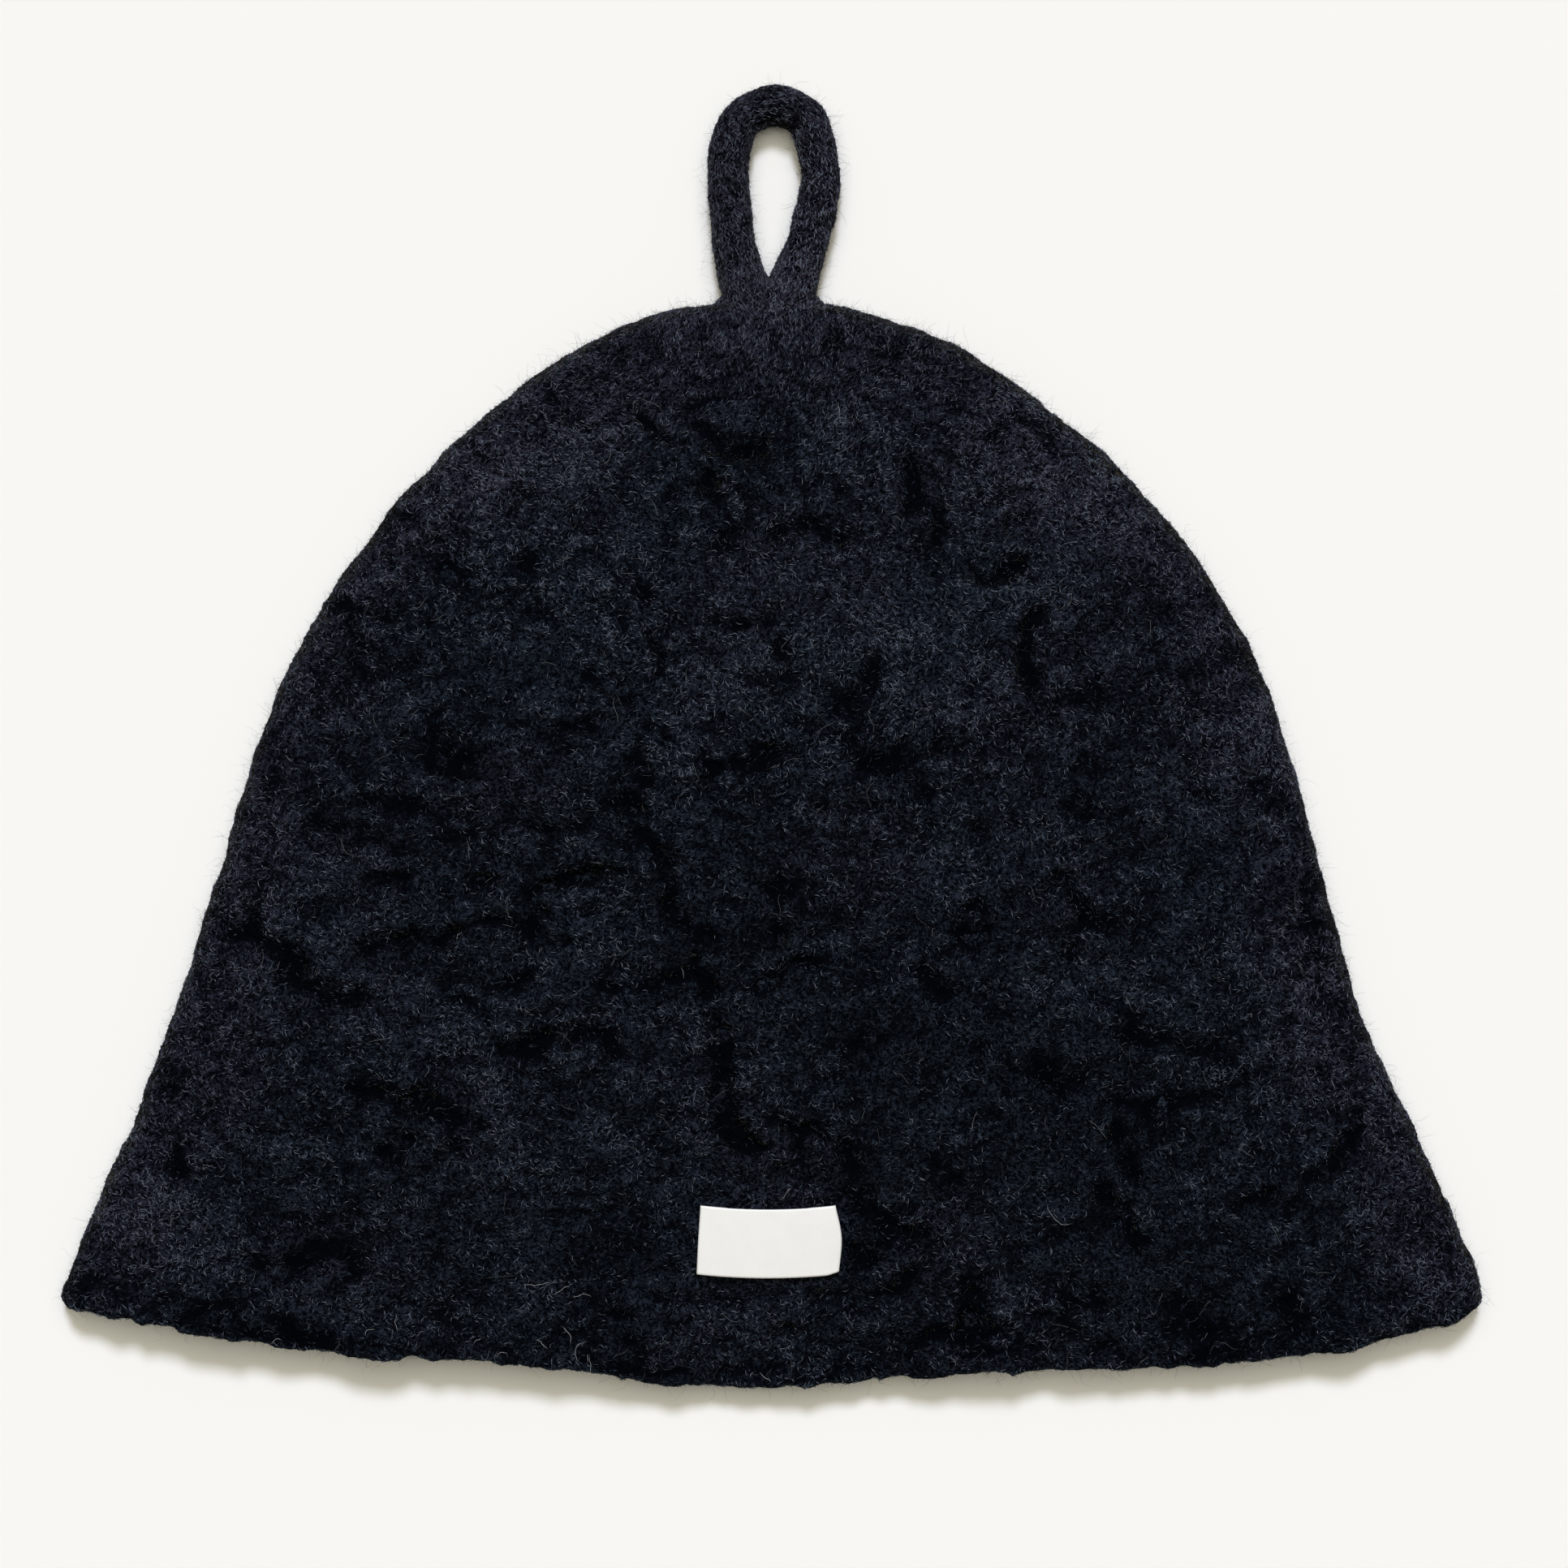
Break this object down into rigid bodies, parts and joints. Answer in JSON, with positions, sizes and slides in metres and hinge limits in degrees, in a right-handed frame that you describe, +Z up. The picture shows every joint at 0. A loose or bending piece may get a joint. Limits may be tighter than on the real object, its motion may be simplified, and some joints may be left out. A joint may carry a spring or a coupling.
{
  "type": "sauna hat",
  "caption": "Bell-shaped wet-felted sauna hat lying flat on its back, with a felted hanging loop at its crown and a blank ribbon label above its open hem.",
  "frame": {"origin": "on the surface that the hat lies on, under the middle of the hat's box", "axes": "+X across the hat from corner to corner of its hem, +Y from the hem to the hanging loop, +Z up out of the front wall that carries the label"},
  "size_m": [0.35, 0.3204, 0.026],
  "materials": {
    "black_felt": "matte wool felt with short loose fibres",
    "felt_cord": "matte wool felt, rolled to a cord",
    "white_ribbon": "woven satin ribbon, low sheen"
  },
  "bodies": {
    "root": {"felt_cap": "black_felt", "hanging_loop": "felt_cord", "sewn_label": "white_ribbon"}
  },
  "joints": []
}
